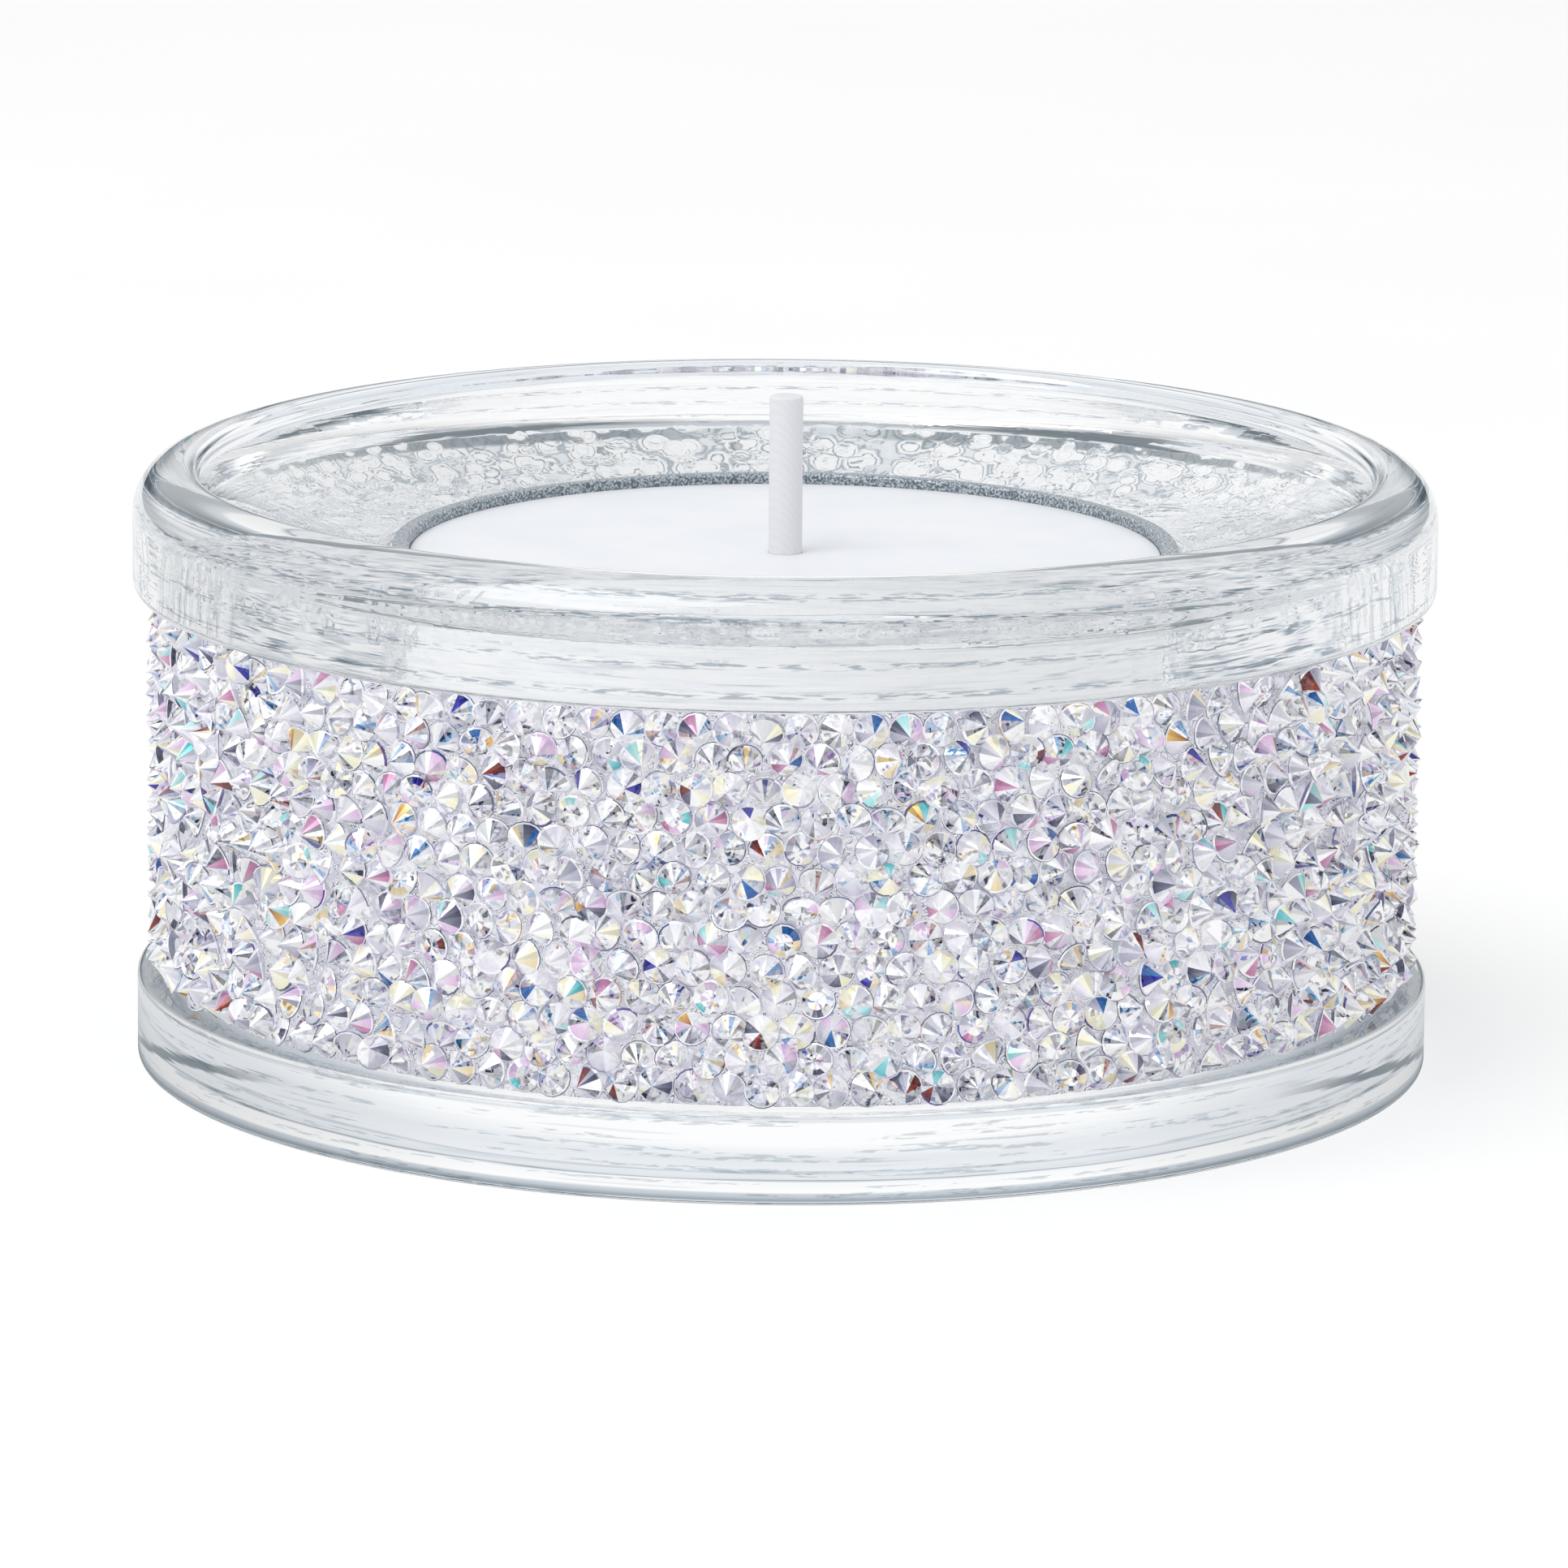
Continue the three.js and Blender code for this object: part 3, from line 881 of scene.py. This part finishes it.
RARE_TINT = 5
CLEAR_FACET_SHARES = (0.42, 0.92, 0.6)
CLEAR_LOOK = 0.55
CLEAR_LOOK_SPREAD = (0.5, 1.3)
COATED_LOOK = 0.06
COATED_LOOK_SPREAD = (0.5, 1.5)
FACETS_PER_QUARTER = STONE_FACETS // 4


def drawn_tint(draw, table):
    return draw.choices(table, weights=[share for share, _, _ in table])[0]


def steady_order(mesh, kinds, numbers):
    """The mesh's faces, with those that were drawn out of the cone sorted, because Blender numbers these in
    another order each time."""
    def drawn_out(face):
        return kinds[face.index].value in TINTS_OF_KIND

    def sorted_by(face):
        return kinds[face.index].value, numbers[face.index].value

    rings = iter(sorted(filter(drawn_out, mesh.polygons), key=sorted_by))
    return [next(rings) if drawn_out(face) else face for face in mesh.polygons]


def colour_facets(stone, draw, clear_share):
    """Gives every facet a coating colour, or where it looks clear, one light or dark painted reflection for
    each of its faces. Both shade off towards the corner furthest from the stone's middle line. Collar and
    edge, with their painted highlights and shade, change colour every quarter turn."""
    mesh = stone.data
    kinds = mesh.attributes["facet_kind"].data
    numbers = mesh.attributes["facet_number"].data
    colours = mesh.color_attributes.new("facet_colour", "FLOAT_COLOR", "CORNER")
    clear_facets = [draw.random() < clear_share for _ in range(STONE_FACETS)]
    chosen = {}
    last_coating = None
    for face in steady_order(mesh, kinds, numbers):
        kind = kinds[face.index].value
        number = numbers[face.index].value
        if kind == POINT and clear_facets[number] or kind == STAR:
            tint, look = drawn_tint(draw, STAR_PAINTED_REFLECTIONS), CLEAR_LOOK * draw.uniform(*CLEAR_LOOK_SPREAD)
        elif kind == POINT:
            if number not in chosen:
                if last_coating is None or draw.random() > SAME_TINT_SHARE:
                    last_coating = drawn_tint(draw, FACET_TINTS)
                chosen[number] = last_coating
                if last_coating[0] < RARE_TINT:
                    last_coating = None
            tint, look = chosen[number], COATED_LOOK * draw.uniform(*COATED_LOOK_SPREAD)
        else:
            quarter = (kind, number // FACETS_PER_QUARTER)
            if quarter not in chosen:
                chosen[quarter] = drawn_tint(draw, TINTS_OF_KIND[kind])
            tint, look = chosen[quarter], COATED_LOOK
        _, low, high = tint
        corners = list(face.loop_indices)
        reach = [mesh.vertices[mesh.loops[corner].vertex_index].co.xy.length for corner in corners]
        furthest = corners[reach.index(max(reach))]
        for corner in corners:
            colour = high if corner == furthest else low
            colours.data[corner].color = (*colour[:3], look)


def stone_row(number, node, masters, material, draw):
    """One row of stones, each tilted and shifted a little, joined into one piece."""
    low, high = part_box(node)
    height = (low.z + high.z) / 2
    odd = (number - 1) % 2
    inward = (number == 1) - (number == len(ROW_NODES))
    copies = []
    for stone in range(STONES_AROUND - odd):
        kind = draw.choices(range(len(masters)), weights=STONE_SHARES)[0]
        master = masters[kind]
        copy = master.copy()
        copy.data = master.data.copy()
        drift = draw.uniform(-STONE_DRIFT, STONE_DRIFT) / GIRDLE_DISTANCE
        angle = SEAM_ANGLE + (stone + 0.5 + odd / 2) * STONE_ANGLE + drift
        rise = draw.uniform(-STONE_RISE, STONE_RISE)
        if inward:
            rise = inward * abs(rise)
        tilt = min(STONE_TILT_LIMIT, abs(draw.gauss(0, STONE_TILT)) + draw.uniform(0, STONE_LEAN))
        raised = STONE_POINT_HEIGHT * (1 - math.cos(tilt)) - draw.uniform(0, STONE_SINK)
        size = draw.uniform(STONE_SMALLEST, STONE_LARGEST)
        toward = draw.uniform(0, 2 * math.pi)
        place = (
            Matrix.Rotation(angle, 4, "Z")
            @ Matrix.Translation((GIRDLE_DISTANCE + raised, 0, height + rise))
            @ Matrix.Rotation(math.pi / 2, 4, "Y")
            @ Matrix.Rotation(tilt, 4, (math.cos(toward), math.sin(toward), 0))
            @ Matrix.Rotation(draw.uniform(0, 2 * math.pi), 4, "Z")
            @ Matrix.Scale(size, 4)
        )
        copy.data.transform(place)
        colour_facets(copy, draw, CLEAR_FACET_SHARES[kind])
        bpy.context.scene.collection.objects.link(copy)
        copies.append(copy)
    deselect_everything()
    for copy in copies:
        copy.select_set(True)
    bpy.context.view_layer.objects.active = copies[0]
    bpy.ops.object.join()
    row = bpy.context.object
    row.name = f"stone_row_{number:02d}"
    row.data.materials.append(material)
    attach(row, "holder")
    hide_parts(node)


def stone_rows():
    pointed = pointed_stone()
    table_out = table_out_stone()
    masters = [pointed, pointed, table_out]
    material = coated_stone()
    draw = random.Random(STONE_SEED)
    for number, node in enumerate(ROW_NODES, 1):
        stone_row(number, node, masters, material, draw)
    for master in (pointed, table_out):
        bpy.data.objects.remove(master)


def tealight():
    """The aluminium cup with its wax, wick and wick sustainer."""
    mouth = CUP_RADIUS - CUP_LIP_WIDTH - CUP_WALL
    foot = mouth + CUP_WALL - CUP_DRAFT
    floor = CUP_LOW.z + CUP_WALL
    rim = CUP_HIGH.z
    bead = CUP_WALL / 2
    profile = [(0, CUP_LOW.z)]
    profile += arc(foot - CUP_BOTTOM_ROUND, CUP_LOW.z + CUP_BOTTOM_ROUND, CUP_BOTTOM_ROUND, -90, 0)
    profile += [(mouth + CUP_WALL, rim - CUP_WALL)]
    profile += arc(CUP_RADIUS - bead, rim - bead, bead, -90, 90)
    profile += arc(mouth + bead, rim - bead, bead, 90, 180, 3)
    inner_round = CUP_BOTTOM_ROUND - CUP_WALL
    profile += arc(foot - CUP_BOTTOM_ROUND, floor + inner_round, inner_round, 0, -90)
    profile += [(0, floor)]
    cup = turned("aluminium_cup", profile, CUP_SIDES)
    cup.data.materials.append(satin_aluminium())
    cup.data.materials.append(knurled_aluminium())
    for face in cup.data.polygons:
        inward = face.normal.x * face.center.x + face.normal.y * face.center.y < 0
        face.material_index = 1 if inward or face.center.z > rim - CUP_WALL else 0
    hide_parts("tealight_cup")

    neck = WICK_RADIUS + WICK_GAP
    neck_outer = neck + NECK_WALL
    disc_top = SUSTAINER_LOW.z + SUSTAINER_THICKNESS
    wax_foot_radius = foot - CUP_WALL - WAX_GAP
    profile = [(SUSTAINER_HIGH.x + WAX_GAP, WAX_LOW.z)]
    profile += arc(wax_foot_radius - CUP_BOTTOM_ROUND, WAX_LOW.z + CUP_BOTTOM_ROUND, CUP_BOTTOM_ROUND, -90, 0)
    profile += [(WAX_HIGH.x, WAX_HIGH.z), (neck, WAX_HIGH.z), (neck, SUSTAINER_HIGH.z + WAX_GAP)]
    profile += [(neck_outer + WAX_GAP, SUSTAINER_HIGH.z + WAX_GAP)]
    profile += [(neck_outer + WAX_GAP, disc_top + WAX_GAP)]
    profile += [(SUSTAINER_HIGH.x + WAX_GAP, disc_top + WAX_GAP)]
    profile += [profile[0]]
    wax = turned("candle_wax", profile, CUP_SIDES)
    wax.data.materials.append(candle_wax())
    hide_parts("wax")

    profile = [(0, WICK_LOW.z), (WICK_RADIUS, WICK_LOW.z)]
    profile += arc(WICK_RADIUS - WICK_TIP_BEVEL, WICK_HIGH.z - WICK_TIP_BEVEL, WICK_TIP_BEVEL, 0, 90, 3)
    profile += [(0, WICK_HIGH.z)]
    wick = turned("waxed_wick", profile, WICK_SIDES)
    wick.data.materials.append(wick_cotton())
    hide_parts("wick")

    profile = [(neck, SUSTAINER_LOW.z), (SUSTAINER_HIGH.x, SUSTAINER_LOW.z), (SUSTAINER_HIGH.x, disc_top)]
    profile += [(neck_outer, disc_top), (neck_outer, SUSTAINER_HIGH.z), (neck, SUSTAINER_HIGH.z)]
    profile += [profile[0]]
    sustainer = turned("steel_wick_sustainer", profile, SUSTAINER_SIDES)
    sustainer.data.materials.append(tinned_steel())
    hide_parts("wick_sustainer")

    for piece in (cup, wax, wick, sustainer):
        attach(piece, "tealight")


def camera():
    """Looks along +Y from the place that fits the rim and foot of the photographed holder."""
    data = bpy.data.cameras.new("camera")
    data.sensor_width = SENSOR_WIDTH
    data.lens = CAMERA_FOCAL_PIXELS / PHOTO_PIXELS * SENSOR_WIDTH
    data.shift_x = (PHOTO_PIXELS / 2 - CAMERA_CENTRE_PIXEL[0]) / PHOTO_PIXELS
    data.shift_y = (CAMERA_CENTRE_PIXEL[1] - PHOTO_PIXELS / 2) / PHOTO_PIXELS
    data.clip_start = CAMERA_NEAREST
    holder = bpy.data.objects.new("camera", data)
    bpy.context.scene.collection.objects.link(holder)
    back = Vector((0, -math.cos(CAMERA_ELEVATION), math.sin(CAMERA_ELEVATION)))
    holder.location = Vector((0, 0, CAMERA_FOCUS_HEIGHT)) + CAMERA_DISTANCE * back
    aim = (-back).to_track_quat("-Z", "Y").to_matrix() @ Matrix.Rotation(CAMERA_ROLL, 3, "Z")
    holder.rotation_euler = aim.to_euler()
    bpy.context.scene.camera = holder


def painted_floor_shade(nodes, links, vector):
    """What glass and metal see of the floor: painted shade in grey rings under the foot, greyer at left and
    right, where they end in a slate edge, and a painted slate arc close by that stands for a dark reflection."""
    near = share_of(nodes, links, vector_math(nodes, links, "LENGTH", vector), FLOOR_SHADE_REACH / MM)
    foot_edge = FOOT_RADIUS / FLOOR_SHADE_REACH
    stops = [(share * foot_edge, *colour) for share, *colour in FOOT_SHADE_RINGS]
    rings = tones(nodes, links, near, (0.0, 254, 254, 255), *stops, (1.0, 255, 255, 255))
    # Painted shade: greyer towards left and right
    sideways = combined(nodes, links, "ABSOLUTE", axis_part(nodes, links, vector, "X"))
    aside = share_of(nodes, links, sideways, FLOOR_SHADE_REACH / MM)
    sides = mask(nodes, links, aside, (0.2, 1), (0.31, 0.87), (0.375, 0.8), (0.44, 0.7), (0.6, 0.7), (1.0, 1))
    shaded = mixed(nodes, links, 1.0, rings, sides, "MULTIPLY")

    # Painted dark arc at left and right, standing for a dark reflection
    away = vector_math(nodes, links, "DISTANCE", vector, [value / MM for value in SIDE_STRIPE_CENTRE])
    low = (SIDE_STRIPE_RADIUS - SIDE_STRIPE_HALF_WIDTH) / FLOOR_SHADE_REACH
    high = (SIDE_STRIPE_RADIUS + SIDE_STRIPE_HALF_WIDTH) / FLOOR_SHADE_REACH
    stripe = mask(
        nodes, links, share_of(nodes, links, away, FLOOR_SHADE_REACH / MM),
        (low - 0.008, 0), (low, 1), (high, 1), (high + 0.004, 0),
    )
    outer = mask(nodes, links, aside, (0.28, 0), (0.33, 0.9), (0.4, 1), (0.43, 0.8))
    striped = mixed(nodes, links, product(nodes, links, stripe, outer), shaded, SIDE_STRIPE_COLOUR)

    # Painted slate edge round the foot, towards left and right
    levels = ((0.9, 0), (0.93, 0.75), (0.96, 1), (0.99, 1), (1.02, 0))
    slate_edge = mask(nodes, links, near, *((share * foot_edge, level) for share, level in levels))
    toward_sides = mask(nodes, links, aside, (0.12, 0), (0.28, 0.85))
    return mixed(nodes, links, product(nodes, links, slate_edge, toward_sides), striped, SIDE_EDGE_COLOUR)


def floor():
    """A wide plain white floor with the holder's soft shadow. Glass and metal see painted shade under the
    foot instead.
    """
    deselect_everything()
    bpy.ops.mesh.primitive_plane_add(size=FLOOR_SIZE, location=(0, 0, FLOOR_OVERLAP))
    plane = bpy.context.object
    plane.name = "floor"
    material, nodes, links, shader = new_material("white studio floor")
    shader.inputs["Roughness"].default_value = 0.9
    shader.inputs["Specular IOR Level"].default_value = 0.1
    vector = object_coordinates(nodes, links)
    grain = noise(nodes, links, vector, 0.02, 2.0)
    colour = ramp(nodes, links, grain, [(0.3, (0.95, 0.952, 0.955, 1)), (0.7, (0.965, 0.967, 0.97, 1))])
    links.new(colour, shader.inputs["Base Color"])
    # Glass and metal see the painted shade as light given off by the floor
    mirrored = nodes.new("ShaderNodeEmission")
    links.new(painted_floor_shade(nodes, links, vector), mirrored.inputs["Color"])
    sharp = ray_is(nodes, links, "Is Glossy Ray", "Is Transmission Ray")
    surface = mixed_shader(nodes, links, sharp, shader.outputs["BSDF"], mirrored.outputs["Emission"])
    links.new(surface, nodes["Material Output"].inputs["Surface"])
    plane.data.materials.append(material)


def soft_lamp():
    """A large soft lamp above the front left, turned to the holder."""
    data = bpy.data.lights.new("soft lamp", "AREA")
    data.size = LAMP_WIDTH
    data.energy = LAMP_WATTS
    holder = bpy.data.objects.new("soft lamp", data)
    bpy.context.scene.collection.objects.link(holder)
    holder.location = LAMP_PLACE
    holder.rotation_euler = (-Vector(LAMP_PLACE)).to_track_quat("-Z", "Y").to_euler()


def mirrored_surround(nodes, links):
    """What glass and metal see all round: white, with a dark horizon, a greyer left, right and top, and the
    unlit room in front, behind the camera."""
    place = nodes.new("ShaderNodeTexCoord").outputs["Generated"]
    up = axis_part(nodes, links, place, "Z")
    surround = ramp(
        nodes, links, up,
        [(0.0, HORIZON_COLOUR), (0.1, HORIZON_COLOUR), (0.2, (0.9, 0.92, 0.94, 1)), (0.3, WHITE),
         (0.8, WHITE), (0.9, OVERHEAD_COLOUR), (1.0, OVERHEAD_COLOUR)],
    )
    sideways = combined(nodes, links, "ABSOLUTE", axis_part(nodes, links, place, "X"))
    sides = ramp(
        nodes, links, sideways,
        [(0.0, WHITE), (0.6, WHITE), (0.85, (0.6, 0.63, 0.66, 1)), (1.0, (0.45, 0.48, 0.51, 1))],
    )
    both = mixed(nodes, links, 1.0, surround, sides, "MULTIPLY")
    backward = share_of(nodes, links, axis_part(nodes, links, place, "Y"), 1.0, -1.0)
    front = mask(nodes, links, backward, (0.4, 1), (0.5, 0))
    low = mask(nodes, links, up, (0.15, 1), (0.46, 1), (0.56, 0))
    return mixed(nodes, links, product(nodes, links, front, low), both, FRONT_COLOUR)


def studio_light():
    """Even white light from all round and one soft lamp, before a white backdrop."""
    world = bpy.data.worlds.new("studio surround")
    bpy.context.scene.world = world
    world.use_nodes = True
    nodes = world.node_tree.nodes
    links = world.node_tree.links
    even = nodes["Background"]
    even.inputs["Strength"].default_value = EVEN_LIGHT
    even.inputs["Color"].default_value = WHITE
    mirrored = nodes.new("ShaderNodeBackground")
    links.new(mirrored_surround(nodes, links), mirrored.inputs["Color"])
    sharp = ray_is(nodes, links, "Is Glossy Ray", "Is Transmission Ray")
    light = mixed_shader(nodes, links, sharp, even.outputs["Background"], mirrored.outputs["Background"])
    backdrop = nodes.new("ShaderNodeBackground")
    backdrop.inputs["Color"].default_value = WHITE
    seen = nodes.new("ShaderNodeLightPath").outputs["Is Camera Ray"]
    surround = mixed_shader(nodes, links, seen, light, backdrop.outputs["Background"])
    links.new(surround, nodes["World Output"].inputs["Surface"])
    soft_lamp()


bpy.context.scene.view_settings.view_transform = "Standard"
cycles = bpy.context.scene.cycles
cycles.transparent_max_bounces = CLEAR_BOUNCES
cycles.max_bounces = CLEAR_BOUNCES
cycles.glossy_bounces = MIRROR_BOUNCES
cycles.transmission_bounces = CLEAR_BOUNCES
camera()
floor()
studio_light()
glass_body()
glue_strip()
stone_rows()
tealight()
